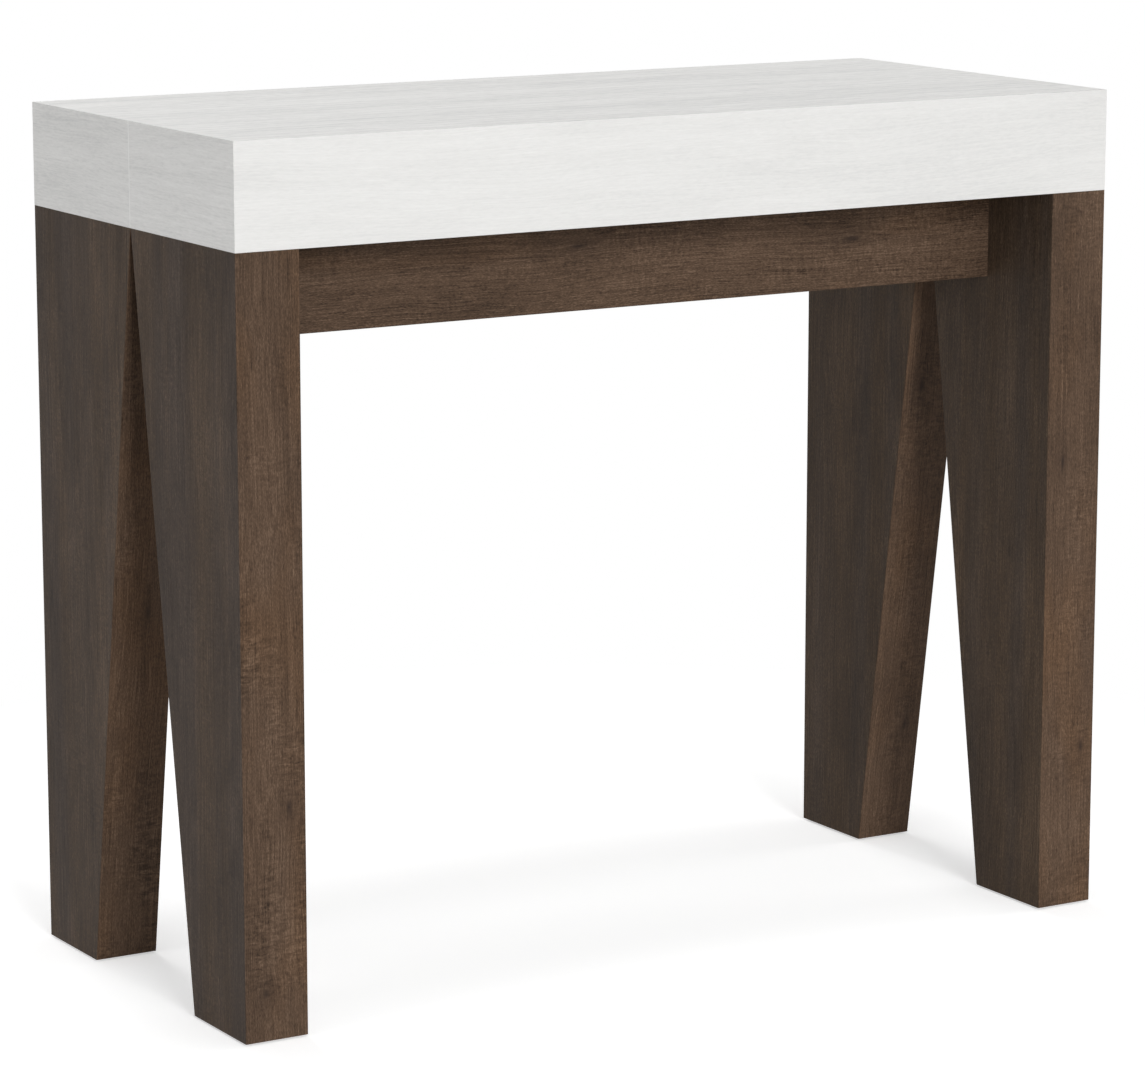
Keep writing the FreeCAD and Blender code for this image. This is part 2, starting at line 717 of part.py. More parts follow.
def make_lever_blank():
    hub = disc("lever_hub", "Sizes.lever_hub_diameter")
    arm = bar("lever_arm", "0", "Sizes.lock_reach - Sizes.lever_slot_width / 2", "Sizes.lever_arm_width")
    tail = bar("lever_tail", "-Sizes.lever_tail_length", "Sizes.lever_tail_length", "Sizes.lever_arm_width")
    tail_end = disc("lever_tail_end", "Sizes.lever_arm_width")
    tail_end.setExpression("Placement.Base.x", "-Sizes.lever_tail_length")
    head_from, head_to = LEVER_HEAD_ANGLES
    head_outside = "2 * Sizes.lock_reach + Sizes.lever_head_width"
    head_inside = "2 * Sizes.lock_reach - Sizes.lever_head_width"
    head_sector = disc("lever_head_sector", head_outside, head_from, head_to - head_from)
    head = joined("Part::Cut", "lever_head", head_sector, disc("lever_head_inside", head_inside))
    slot_from, slot_to = LEVER_SLOT_ANGLES
    slot_outside = "2 * Sizes.lock_reach + Sizes.lever_slot_width"
    slot_inside = "2 * Sizes.lock_reach - Sizes.lever_slot_width"
    slot_sector = disc("lever_slot_sector", slot_outside, slot_from, slot_to - slot_from)
    slot = joined("Part::Cut", "lever_slot", slot_sector, disc("lever_slot_inside", slot_inside))
    bore = disc("lever_bore", "Sizes.lock_shoulder_diameter + 2 * Sizes.lever_bore_clearance")
    blank = doc.addObject("Part::MultiFuse", "lever_blank")
    blank.Shapes = [hub, arm, tail, tail_end, head]
    blank.Refine = True
    cuts = doc.addObject("Part::MultiFuse", "lever_cuts")
    cuts.Shapes = [slot, bore]
    return joined("Part::Cut", "lever_cut", blank, cuts)


def make_levers():
    left = make_lever_blank()
    left.Label = "left_lock_lever"
    left.setExpression("Placement.Base.x", signed(-1, "Sizes.lock_offset"))
    left.setExpression("Placement.Base.y", lock_pivot_y)
    left.setExpression("Placement.Base.z", lever_bottom)
    right = doc.addObject("Part::Mirroring", "lever_mirrored")
    right.Label = "right_lock_lever"
    right.Source = left
    right.Normal = FreeCAD.Vector(1, 0, 0)
    pieces.extend([left, right])


for half, sign in HALVES.items():
    make_top_board(half, sign)
    make_fascia(half, sign)
    make_crossbar(half, sign)
    make_leg_bolts(half, sign)
    make_cams(half, sign)
    make_cam_bolts(half, sign)
    make_glides(half, sign)
    make_guide_screws(half)
    for side, side_sign in SIDES.items():
        make_end_fascia(half, sign, side, side_sign)
        make_leg(half, sign, side, side_sign)
        make_batten(half, sign, side, side_sign)
make_pegs()
make_guides()
make_lock_screws("lock_pivot_screws", "front", "Sizes.lock_shoulder_diameter")
make_lock_screws("lock_strike_screws", "rear", "Sizes.lock_strike_diameter")
make_levers()
doc.recompute()

for item in doc.Objects:
    if "Invalid" in item.State or "Error" in item.State:
        raise RuntimeError(f"{item.Label} failed: {item.State}")
for piece in pieces:
    if piece.Shape.isNull() or not piece.Shape.isValid() or not piece.Shape.Solids:
        raise RuntimeError(f"{piece.Label} has no valid solid")

os.makedirs("parts", exist_ok=True)
for piece in pieces:
    piece.Shape.exportStep(f"parts/{piece.Label}.step")
print(len(pieces), "pieces,", sum(len(piece.Shape.Solids) for piece in pieces), "solids")
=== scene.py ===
import json
import math

import bmesh
import bpy
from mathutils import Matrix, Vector


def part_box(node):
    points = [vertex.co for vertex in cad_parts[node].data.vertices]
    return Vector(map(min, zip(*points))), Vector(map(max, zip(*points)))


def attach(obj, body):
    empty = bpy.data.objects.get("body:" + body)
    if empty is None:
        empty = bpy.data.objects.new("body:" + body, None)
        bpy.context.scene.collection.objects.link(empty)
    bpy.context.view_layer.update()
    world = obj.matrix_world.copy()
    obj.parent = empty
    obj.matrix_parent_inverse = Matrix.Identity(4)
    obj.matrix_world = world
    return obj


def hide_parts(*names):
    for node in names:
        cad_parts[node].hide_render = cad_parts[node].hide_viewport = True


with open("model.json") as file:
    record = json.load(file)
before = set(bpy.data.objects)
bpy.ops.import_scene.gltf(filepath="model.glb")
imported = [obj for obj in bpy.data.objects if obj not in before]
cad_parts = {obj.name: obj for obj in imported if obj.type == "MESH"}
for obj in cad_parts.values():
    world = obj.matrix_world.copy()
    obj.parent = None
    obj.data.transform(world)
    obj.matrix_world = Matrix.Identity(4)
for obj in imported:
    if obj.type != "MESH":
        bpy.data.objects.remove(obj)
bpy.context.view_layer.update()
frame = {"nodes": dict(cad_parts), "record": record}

halves = ("rear", "front")
sides = ("left", "right")
stageCount = 5
mm = 0.001
mergeDistance = 1e-6

# the middle of a noise, and the span that nearly all of it lies in
noiseMiddle = 0.5
noiseSpan = (0.3, 0.7)


# small helpers for node trees
def addNode(tree, kind, **settings):
    node = tree.nodes.new(kind)
    for name, value in settings.items():
        setattr(node, name, value)
    return node


def feed(tree, socket, value):
    if isinstance(value, bpy.types.NodeSocket):
        tree.links.new(value, socket)
    else:
        socket.default_value = value


def fedNode(tree, kind, inputs, **settings):
    node = addNode(tree, kind, **settings)
    for socket, value in inputs.items():
        feed(tree, node.inputs[socket], value)
    return node


def sums(tree, operation, first, second):
    return fedNode(tree, "ShaderNodeMath", {0: first, 1: second}, operation=operation).outputs[0]


def vectorSums(tree, operation, first, second):
    return fedNode(tree, "ShaderNodeVectorMath", {0: first, 1: second}, operation=operation).outputs[0]


def vectorTimes(tree, vector, factor):
    return fedNode(tree, "ShaderNodeVectorMath", {0: vector, "Scale": factor}, operation="SCALE").outputs[0]


def vectorLength(tree, vector):
    return fedNode(tree, "ShaderNodeVectorMath", {0: vector}, operation="LENGTH").outputs["Value"]


def partsOf(tree, vector):
    return fedNode(tree, "ShaderNodeSeparateXYZ", {0: vector}).outputs


def spread(tree, value, low, high, toLow, toHigh):
    inputs = dict(enumerate((value, low, high, toLow, toHigh)))
    return fedNode(tree, "ShaderNodeMapRange", inputs).outputs[0]


def stretched(tree, vector, scale):
    return fedNode(tree, "ShaderNodeMapping", {"Vector": vector, "Scale": scale}).outputs[0]


def noise(tree, coords, scale, detail=2.0, roughness=0.5, distortion=0.0, output="Fac"):
    inputs = {"Vector": stretched(tree, coords, scale), "Scale": 1.0, "Detail": detail,
              "Roughness": roughness, "Distortion": distortion}
    return fedNode(tree, "ShaderNodeTexNoise", inputs).outputs[output]


def mask(tree, coords, scale, low, high):
    return spread(tree, noise(tree, coords, scale), low, high, 0, 1)


def added(tree, total, value, share):
    return sums(tree, "ADD", total, sums(tree, "MULTIPLY", value, share))


# each layer moves the level up or down by its share
def layered(tree, level, layers, shares):
    total = level
    for layer, share in shares.items():
        total = added(tree, total, sums(tree, "SUBTRACT", layers[layer], noiseMiddle), share * 2)
    return total


def ramp(tree, value, stops):
    node = fedNode(tree, "ShaderNodeValToRGB", {"Fac": value})
    elements = node.color_ramp.elements
    while len(elements) < len(stops):
        elements.new(0.5)
    for element, (place, colour) in zip(elements, stops):
        element.position = place
        element.color = (*colour, 1.0)
    return node.outputs["Color"]


def mixColour(tree, factor, first, second, blend="MIX"):
    inputs = {"Factor": factor, 6: first, 7: second}
    return fedNode(tree, "ShaderNodeMix", inputs, data_type="RGBA", blend_type=blend).outputs[2]


def newMaterial(name):
    material = bpy.data.materials.new(name)
    material.use_nodes = True
    tree = material.node_tree
    return material, tree, tree.nodes["Principled BSDF"]


def bumpInto(tree, shader, height, s):
    inputs = {"Strength": s["bump"], "Distance": s["bumpDepth"], "Height": height}
    feed(tree, shader.inputs["Normal"], fedNode(tree, "ShaderNodeBump", inputs).outputs["Normal"])


# colour, roughness that follows the fine grain, and bump
def dressShader(tree, shader, s, colour, fine, height):
    feed(tree, shader.inputs["Base Color"], colour)
    feed(tree, shader.inputs["Roughness"], spread(tree, fine, *noiseSpan, *s["roughness"]))
    bumpInto(tree, shader, height, s)


# coordinates turned so that the grain runs along the texture's own X
grainTurns = {"X": (0, 0, 0), "Y": (0, 0, -math.pi / 2), "Z": (0, math.pi / 2, 0)}


def objectCoords(tree):
    return addNode(tree, "ShaderNodeTexCoord").outputs["Object"]


def grainCoords(tree, vector, along, shift):
    inputs = {"Vector": vector, "Rotation": grainTurns[along], "Location": shift}
    return fedNode(tree, "ShaderNodeMapping", inputs).outputs[0]


# pushes the grain sideways, each wave a scale and a reach in metres
def wavyCoords(tree, coords, waves):
    for scale, reach in waves:
        push = noise(tree, coords, scale, output="Color")
        push = vectorSums(tree, "SUBTRACT", push, (noiseMiddle, noiseMiddle, noiseMiddle))
        coords = vectorSums(tree, "ADD", coords, vectorSums(tree, "MULTIPLY", push, (0, reach, reach)))
    return coords


# white ash-grain laminate: pale bands, streaks, fine embossed lines, light glints and faint arcs; on the
# rear end panels, a painted highlight strip along the seam
whiteAsh = {
    "tones": [(0.0, (0.66, 0.660, 0.650)), (0.5, (0.785, 0.780, 0.764)), (1.0, (0.87, 0.865, 0.850))],
    "level": 0.5,
    "waves": [((2.6, 8, 8), 0.030), ((18, 40, 40), 0.0020)],
    "band": {"scale": (1.3, 24, 24), "detail": 4, "roughness": 0.55, "distortion": 0.6},
    "streakNoise": {"detail": 3, "roughness": 0.6},
    "lineNoise": {"detail": 2, "roughness": 0.6},
    "arcScale": (1.6, 13, 13),
    "arcWave": {"Scale": 1.6, "Distortion": 9.0, "Detail": 3.0, "Detail Scale": 0.7},
    "glintRange": (0.58, 0.72),
    "glintBump": 0.6,
    "roughness": (0.46, 0.60),
    "bump": 0.25,
    "bumpDepth": 0.00025,
    "specular": 0.22,
    # painted highlight: width, fade and colour of a light strip along the seam of a rear end panel, standing
    # in for light caught by the seam's edge
    "seamHighlightWidth": 0.0009,
    "seamHighlightFade": 0.0002,
    "seamHighlightColour": (0.92, 0.92, 0.905, 1),
}
# how the grain shows on each kind of panel: scales along and across, and the share of each layer
ashCuts = {
    "fascia": {
        "streak": (8, 92, 92), "long": (9, 560, 560), "short": (130, 700, 700), "glint": (14, 620, 620),
        "shares": {"band": 0.14, "streak": 0.11, "long": 0.22, "short": 0.28, "arc": 0.08},
        "glintShare": 0.15,
    },
    "end": {
        "streak": (9, 92, 92), "long": (14, 520, 520), "short": (120, 660, 660), "glint": (20, 560, 560),
        "shares": {"band": 0.22, "streak": 0.18, "long": 0.46, "short": 0.52, "arc": 0.10},
        "glintShare": 0.20,
    },
    "top": {
        "streak": (14, 110, 110), "long": (26, 260, 260), "short": (110, 300, 300), "glint": (30, 180, 180),
        "shares": {"band": 0.66, "streak": 0.38, "long": 0.50, "short": 0.70, "arc": 0.10},
        "glintShare": 0.24,
    },
}


def makeWhiteAsh(name, along, shift, cut, seamPlane=None):
    s = whiteAsh
    material, tree, shader = newMaterial(name)
    coords = grainCoords(tree, objectCoords(tree), along, shift)
    wavy = wavyCoords(tree, coords, s["waves"])
    arcInputs = {"Vector": stretched(tree, coords, s["arcScale"]), **s["arcWave"]}
    arcs = fedNode(tree, "ShaderNodeTexWave", arcInputs, wave_type="BANDS", bands_direction="Y")
    layers = {
        "band": noise(tree, coords, **s["band"]),
        "streak": noise(tree, wavy, cut["streak"], **s["streakNoise"]),
        "long": noise(tree, wavy, cut["long"], **s["lineNoise"]),
        "short": noise(tree, wavy, cut["short"], **s["lineNoise"]),
        "arc": arcs.outputs["Fac"],
    }
    glints = mask(tree, wavy, cut["glint"], *s["glintRange"])
    total = layered(tree, s["level"], layers, cut["shares"])
    colour = ramp(tree, added(tree, total, glints, cut["glintShare"]), s["tones"])
    # painted highlight: a lighter strip along the seam of the rear end panel, where the seam's edge would
    # catch the light
    if seamPlane is not None:
        seamHighlightEnd = seamPlane + s["seamHighlightWidth"]
        depth = partsOf(tree, objectCoords(tree))["Y"]
        paintedSeamHighlight = spread(tree, depth, seamHighlightEnd, seamHighlightEnd + s["seamHighlightFade"], 1, 0)
        colour = mixColour(tree, paintedSeamHighlight, colour, s["seamHighlightColour"])
    shader.inputs["Specular IOR Level"].default_value = s["specular"]
    height = added(tree, layers["short"], glints, s["glintBump"])
    dressShader(tree, shader, s, colour, layers["short"], height)
    return material


# dark brown oak laminate: soft tone clouds, fine wavy lines, pores, curly figure, and knots the
# grain flows round; the broad faces of the legs are greyer than their edges, in warm and cool bands; each
# piece's edges and faces are scaled by its painted light level
brownOak = {
    "edgeTones": [(0.0, (0.026, 0.016, 0.010)), (0.35, (0.067, 0.041, 0.026)),
                  (0.65, (0.108, 0.067, 0.043)), (1.0, (0.180, 0.118, 0.079))],
    "faceTones": [(0.0, (0.020, 0.014, 0.010)), (0.35, (0.050, 0.0355, 0.0262)),
                  (0.65, (0.075, 0.0535, 0.0395)), (1.0, (0.140, 0.101, 0.075))],
    "level": 0.53,
    "waves": [((3, 7, 7), 0.020), ((16, 34, 34), 0.0030), ((60, 130, 130), 0.0007)],
    "streak": {"scale": (2.2, 44, 44), "detail": 3, "roughness": 0.6},
    "long": {"scale": (5, 1100, 1100), "detail": 2, "roughness": 0.6},
    "short": {"scale": (360, 1250, 1250), "detail": 2, "roughness": 0.6},
    "cloud": {"scale": (6, 14, 14), "detail": 4, "roughness": 0.6, "distortion": 0.4},
    "shares": {"streak": 0.15, "long": 0.60, "short": 0.74, "cloud": 0.42},
    "curl": {"scale": (300, 90, 90), "detail": 2, "roughness": 0.6, "distortion": 0.8},
    "curlMask": {"scale": (9, 22, 22), "low": 0.44, "high": 0.62},
    "curlShare": 0.55,
    "faceCurl": 0.30,
    "pore": {"scale": (26, 1000, 1000), "low": 0.57, "high": 0.70},
    "poreShare": 0.18,
    "poreBump": 0.9,
    "glint": {"scale": (12, 900, 900), "low": 0.64, "high": 0.76},
    "glintShare": 0.30,
    "tan": {"scale": (5, 15, 15), "low": 0.48, "high": 0.66},
    "tanTint": (1.10, 1.03, 0.93, 1),
    "cool": {"scale": (1.1, 27, 27), "low": 0.38, "high": 0.62},
    "coolTint": (0.93, 0.95, 1.00, 1),
    "warmTint": (1.03, 0.985, 0.91, 1),
    "faceStretch": (-0.16, 1.15),
    "broadFacing": (0.6, 0.8),  # how far a face looks along X before it counts as a broad one
    "slopeTilt": (0.05, 0.10),  # how far a face tips from upright before it counts as a sloping one
    "knotColour": (0.024, 0.016, 0.013, 1),
    "knotLevel": 0.75,
    "knotShares": {"short": 0.6},
    "roughness": (0.56, 0.72),
    "bump": 0.35,
    "bumpDepth": 0.0003,
    "specular": 0.12,
}
# a knot in units of its own reach: how it pulls the grain, and for its core and its halo
# where they start to fade, where they end and how dark they are
knotShape = {
    "pullReach": 2.4,
    "pullFall": 1.6,
    "pull": -0.8,
    "core": (0.12, 0.55, 0.62),
    "halo": (0.3, 2.0, 0.34),
}


# bends the grain round a knot that goes through along Y; gives the new coordinates and the knot's darkness
def roundKnot(tree, coords, place, reach, along):
    s = knotShape
    wide, long = reach
    scale = (1 / long, 0, 1 / wide) if along == "X" else (1 / wide, 0, 1 / long)
    across = (0, 0, 1) if along == "X" else (1, 0, 0)
    away = vectorSums(tree, "SUBTRACT", coords, place)
    distance = vectorLength(tree, vectorSums(tree, "MULTIPLY", away, scale))
    pull = sums(tree, "POWER", spread(tree, distance, 0, s["pullReach"], 1, 0), s["pullFall"])
    pull = sums(tree, "MULTIPLY", pull, s["pull"])
    push = vectorTimes(tree, vectorSums(tree, "MULTIPLY", away, across), pull)
    core = spread(tree, distance, *s["core"], 0)
    halo = spread(tree, distance, *s["halo"], 0)
    return vectorSums(tree, "ADD", coords, push), sums(tree, "ADD", core, halo)


# on a leg's sloping face the grain leans with the face, so its lines run down the whole leg
def leanedCoords(tree, coords, tilt, slope):
    onSlope = spread(tree, tilt, *brownOak["slopeTilt"], 0, slope)
    shove = sums(tree, "MULTIPLY", partsOf(tree, coords)["Z"], onSlope)
    return vectorSums(tree, "ADD", coords, fedNode(tree, "ShaderNodeCombineXYZ", {"Y": shove}).outputs[0])


def makeBrownOak(name, along, shift, knots, looks, slope=0.0):
    s = brownOak
    material, tree, shader = newMaterial(name)
    coords = objectCoords(tree)
    knotDepth = 0.0
    for place, reach in knots:
        coords, dark = roundKnot(tree, coords, place, reach, along)
        knotDepth = sums(tree, "MAXIMUM", dark, knotDepth)
    facing = partsOf(tree, addNode(tree, "ShaderNodeNewGeometry").outputs["True Normal"])
    broadFace = spread(tree, sums(tree, "ABSOLUTE", facing["X"], 0), *s["broadFacing"], 0, 1)
    if slope:
        coords = leanedCoords(tree, coords, sums(tree, "ABSOLUTE", facing["Z"], 0), slope)
    coords = grainCoords(tree, coords, along, shift)
    wavy = wavyCoords(tree, coords, s["waves"])
    layers = {layer: noise(tree, wavy, **s[layer]) for layer in ("streak", "long", "short")}
    layers["cloud"] = noise(tree, coords, **s["cloud"])
    pores = mask(tree, wavy, **s["pore"])
    curl = sums(tree, "SUBTRACT", noise(tree, wavy, **s["curl"]), noiseMiddle)
    curl = sums(tree, "MULTIPLY", curl, mask(tree, coords, **s["curlMask"]))
    curl = sums(tree, "MULTIPLY", curl, spread(tree, broadFace, 0, 1, 1, s["faceCurl"]))
    shares = {layer: share * looks["contrast"] for layer, share in s["shares"].items()}
    total = layered(tree, s["level"], layers, shares)
    total = added(tree, total, curl, s["curlShare"] * looks["curl"] * 2)
    total = added(tree, total, pores, -s["poreShare"])
    total = added(tree, total, mask(tree, wavy, **s["glint"]), s["glintShare"])
    edge = ramp(tree, total, s["edgeTones"])
    edge = mixColour(tree, mask(tree, coords, **s["tan"]), edge, s["tanTint"], "MULTIPLY")
    # painted light: the edges and broad faces are made brighter or darker, and the faces tinted, by the
    # piece's painted light levels
    edge = vectorTimes(tree, edge, looks["edgePaintedLight"])
    face = ramp(tree, spread(tree, total, 0, 1, *s["faceStretch"]), s["faceTones"])
    tint = mixColour(tree, mask(tree, coords, **s["cool"]), s["warmTint"], s["coolTint"])
    face = vectorSums(tree, "MULTIPLY", vectorSums(tree, "MULTIPLY", face, tint), looks["faceTintAndPaintedLight"])
    colour = mixColour(tree, broadFace, edge, face)
    knotDepth = sums(tree, "MULTIPLY", knotDepth, layered(tree, s["knotLevel"], layers, s["knotShares"]))
    colour = mixColour(tree, knotDepth, colour, s["knotColour"])
    shader.inputs["Specular IOR Level"].default_value = s["specular"]
    height = added(tree, layers["short"], pores, -s["poreBump"])
    dressShader(tree, shader, s, colour, layers["short"], height)
    return material


# plain sawn softwood of the hidden battens
sawnWood = {
    "tones": [(0.0, (0.36, 0.22, 0.11)), (0.45, (0.52, 0.36, 0.20)), (1.0, (0.64, 0.48, 0.30))],
    "shift": (0.3, 0.1, 0.2),
    "ring": {"scale": (1.2, 60, 60), "detail": 3, "roughness": 0.6, "distortion": 0.8},
    "saw": {"scale": (420, 24, 24)},
    "shares": {"saw": 0.1},
    "roughness": 0.72,
    "bump": 0.35,
    "bumpDepth": 0.0004,
}


def makeSawnWood(name):
    s = sawnWood
    material, tree, shader = newMaterial(name)
    coords = grainCoords(tree, objectCoords(tree), "Y", s["shift"])
    saw = noise(tree, coords, **s["saw"])
    tone = layered(tree, noise(tree, coords, **s["ring"]), {"saw": saw}, s["shares"])
    feed(tree, shader.inputs["Base Color"], ramp(tree, tone, s["tones"]))
    shader.inputs["Roughness"].default_value = s["roughness"]
    bumpInto(tree, shader, saw, s)
    return material


# extruded aluminium with die lines along the rail, and the other small finishes
railAluminium = {
    "tones": [(0.0, (0.47, 0.475, 0.49)), (1.0, (0.58, 0.59, 0.60))],
    "roughness": (0.44, 0.54), "scale": (700, 6, 700), "metallic": 1.0, "bump": 0.04, "bumpDepth": 0.0001,
}
zincSteel = {
    "tones": [(0.0, (0.52, 0.52, 0.50)), (0.6, (0.68, 0.68, 0.66)), (1.0, (0.76, 0.75, 0.70))],
    "roughness": (0.24, 0.46), "scale": (260, 260, 260), "metallic": 1.0, "bump": 0.015, "bumpDepth": 0.0001,
}
paleNylon = {
    "tones": [(0.0, (0.66, 0.64, 0.58)), (1.0, (0.78, 0.77, 0.72))],
    "roughness": (0.38, 0.52), "scale": (500, 500, 500), "metallic": 0.0, "bump": 0.08, "bumpDepth": 0.0001,
}
blackNylon = {
    "tones": [(0.0, (0.010, 0.010, 0.011)), (1.0, (0.026, 0.026, 0.027))],
    "roughness": (0.40, 0.62), "scale": (600, 600, 600), "metallic": 0.0, "bump": 0.15, "bumpDepth": 0.0001,
}
finishNoise = {"detail": 3, "roughness": 0.6}
broadRatio = 12  # the broad variation is this many times as large as the fine one


def makeFinish(name, s):
    material, tree, shader = newMaterial(name)
    coords = objectCoords(tree)
    broad = noise(tree, coords, [n / broadRatio for n in s["scale"]])
    fine = noise(tree, coords, s["scale"], **finishNoise)
    tone = sums(tree, "MULTIPLY", sums(tree, "ADD", broad, fine), 0.5)
    colour = ramp(tree, spread(tree, tone, *noiseSpan, 0, 1), s["tones"])
    shader.inputs["Metallic"].default_value = s["metallic"]
    dressShader(tree, shader, s, colour, fine, fine)
    return material


aluminium = makeFinish("extrudedAluminium", railAluminium)
zinc = makeFinish("brightZinc", zincSteel)
nylon = makeFinish("naturalNylon", paleNylon)
darkNylon = makeFinish("blackNylon", blackNylon)
battenWood = makeSawnWood("sawnBatten")
print("materials: metals, nylons and batten wood")


# small helpers for meshes and objects
def addObject(name, mesh):
    piece = bpy.data.objects.new(name, mesh)
    bpy.context.scene.collection.objects.link(piece)
    return piece


def dropObject(piece):
    mesh = piece.data
    bpy.data.objects.remove(piece)
    bpy.data.meshes.remove(mesh)


def meshFrom(bm, name):
    mesh = bpy.data.meshes.new(name)
    bm.to_mesh(mesh)
    bm.free()
    return mesh


def plainMesh(piece):
    view = bpy.context.evaluated_depsgraph_get()
    return bpy.data.meshes.new_from_object(piece.evaluated_get(view), depsgraph=view)


# the mesh of a CAD node with its loose triangles joined
def mergedCopy(nodeName):
    bm = bmesh.new()
    bm.from_mesh(frame["nodes"][nodeName].data)
    bmesh.ops.remove_doubles(bm, verts=bm.verts, dist=mergeDistance)
    return bm


# a closed skin over rings of as many points each
def skinLoops(bm, loops):
    for low, high in zip(loops, loops[1:]):
        for n in range(len(low)):
            m = (n + 1) % len(low)
            bm.faces.new((low[n], low[m], high[m], high[n]))
    bm.faces.new(reversed(loops[0]))
    bm.faces.new(loops[-1])
    bmesh.ops.recalc_face_normals(bm, faces=bm.faces)


# a copy of a CAD node with its long sharp edges eased; the edges along the seam may have their own ease
easedEdges = {
    "width": 0.0004,
    "segments": 2,
    "profile": 0.5,
    "sharpAngle": 30,
    "flatAngle": 0.5,
    "shortest": 0.02,
    "seamReach": 0.0005,
}
seamEase = {"rear": 0.0003, "front": 0.0002}
leverEase = 0.0003


def longSharpEdges(bm, atSeam):
    s = easedEdges
    found = []
    for edge in bm.edges:
        if len(edge.link_faces) == 2 and edge.calc_length() > s["shortest"]:
            seam = all(abs(vert.co.y) < s["seamReach"] for vert in edge.verts)
            if seam == atSeam and edge.calc_face_angle() > math.radians(s["sharpAngle"]):
                found.append(edge)
    return found


def easedCopy(nodeName, material, width=easedEdges["width"], seamWidth=easedEdges["width"]):
    s = easedEdges
    bm = mergedCopy(nodeName)
    flat = math.radians(s["flatAngle"])
    bmesh.ops.dissolve_limit(bm, angle_limit=flat, verts=bm.verts, edges=bm.edges)
    for atSeam, ease in ((True, seamWidth), (False, width)):
        edges = longSharpEdges(bm, atSeam)
        bmesh.ops.bevel(bm, geom=edges, offset=ease, segments=s["segments"], profile=s["profile"],
                        affect="EDGES", clamp_overlap=True)
    for layer in list(bm.loops.layers.float_vector.values()):
        bm.loops.layers.float_vector.remove(layer)
    mesh = meshFrom(bm, "eased_" + nodeName)
    mesh.shade_flat()
    mesh.materials.clear()
    mesh.materials.append(material)
    return addObject("eased_" + nodeName, mesh)


nodeBody = {node: body for body, nodes in frame["record"]["behaviour"]["bodies"].items() for node in nodes}


def standFor(piece, nodeName):
    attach(piece, nodeBody[nodeName])
    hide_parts(nodeName)


def finishNode(nodeName, material):
    for holder in frame["nodes"][nodeName].material_slots:
        holder.material = material


# white box top: every panel has its own stretch of grain
ashPanels = {
    "top_board": {"cut": "top", "along": "X", "shift": (0.0, 0.0, 0.0)},
    "fascia": {"cut": "fascia", "along": "X", "shift": (0.41, 0.13, 0.27)},
    "left_end": {"cut": "end", "along": "Y", "shift": (0.83, 0.57, 0.71)},
    "right_end": {"cut": "end", "along": "Y", "shift": (1.37, 0.31, 0.11)},
}
halfShift = {"rear": 0.63, "front": 0}
for half in halves:
    for panel, s in ashPanels.items():
        nodeName = f"{half}_{panel}"
        isEnd = s["cut"] == "end"
        shift = [n + halfShift[half] for n in s["shift"]]
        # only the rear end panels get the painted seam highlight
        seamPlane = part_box(nodeName)[0][1] if isEnd and half == "rear" else None
        ash = makeWhiteAsh("whiteAsh_" + nodeName, s["along"], shift, ashCuts[s["cut"]], seamPlane)
        seamWidth = seamEase[half] if isEnd else easedEdges["width"]
        standFor(easedCopy(nodeName, ash, seamWidth=seamWidth), nodeName)
print("white panels: done")

# brown legs and crossbars: grain runs up the legs and along the crossbars; knots as (place, (wide, long))
brownKnots = {
    "front_left_leg": [((-0.406, 0, 0.205), (0.006, 0.016)), ((-0.430, 0, 0.044), (0.007, 0.010))],
    "front_right_leg": [((0.436, 0, 0.155), (0.005, 0.014)), ((0.408, 0, 0.430), (0.005, 0.016))],
    "front_crossbar": [((0.235, 0, 0.640), (0.006, 0.024)), ((-0.060, 0, 0.652), (0.005, 0.020))],
    "rear_left_leg": [((-0.415, 0, 0.330), (0.005, 0.016))],
    "rear_right_leg": [((0.410, 0, 0.470), (0.005, 0.018)), ((0.432, 0, 0.120), (0.004, 0.012))],
    "rear_crossbar": [((-0.190, 0, 0.628), (0.006, 0.022)), ((0.120, 0, 0.660), (0.005, 0.018))],
}
legTaper = 0.100
# per side: the grain's contrast and curl, and painted light: edge and face levels differ by side to stand in
# for how the lamps fall on each pair of legs; the right legs' faces are also warmer, partly painted bounce
# light and partly the wood's own tone
legLooksWithPaintedLight = {
    "left": {"edgePaintedLight": 0.96, "faceTintAndPaintedLight": (0.935, 0.933, 0.928), "contrast": 0.84, "curl": 1.3},
    "right": {"edgePaintedLight": 1.08, "faceTintAndPaintedLight": (0.990, 0.955, 0.890), "contrast": 0.78, "curl": 0.8},
}
# the crossbars' edge and face levels are painted light too, a little under plain
crossbarLooksWithPaintedLight = {"edgePaintedLight": 0.99, "faceTintAndPaintedLight": (0.98, 0.98, 0.98), "contrast": 1.0, "curl": 0.7}
# where the grain starts on a leg, and how far it moves on for the front half and for the right side
legGrain = {"start": (0, 0.07, 0), "front": (0.37, 0, 0.19), "right": (0.61, 0.23, 0)}
crossbarGrain = {"rear": (0.9, 0.4, 0.2), "front": (1.9, 0.4, 0.2)}
for half in halves:
    for side in sides:
        nodeName = f"{half}_{side}_leg"
        shift = Vector(legGrain["start"])
        for step in (half, side):
            shift += Vector(legGrain.get(step, (0, 0, 0)))
        low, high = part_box(nodeName)
        slope = legTaper / (high[2] - low[2]) * (1 if half == "rear" else -1)
        oak = makeBrownOak("brownOak_" + nodeName, "Z", shift, brownKnots[nodeName], legLooksWithPaintedLight[side], slope)
        finishNode(nodeName, oak)
        finishNode(f"{half}_{side}_batten", battenWood)
    nodeName = f"{half}_crossbar"
    shift = crossbarGrain[half]
    oak = makeBrownOak("brownOak_" + nodeName, "X", shift, brownKnots[nodeName], crossbarLooksWithPaintedLight)
    finishNode(nodeName, oak)
print("legs, crossbars and battens: done")

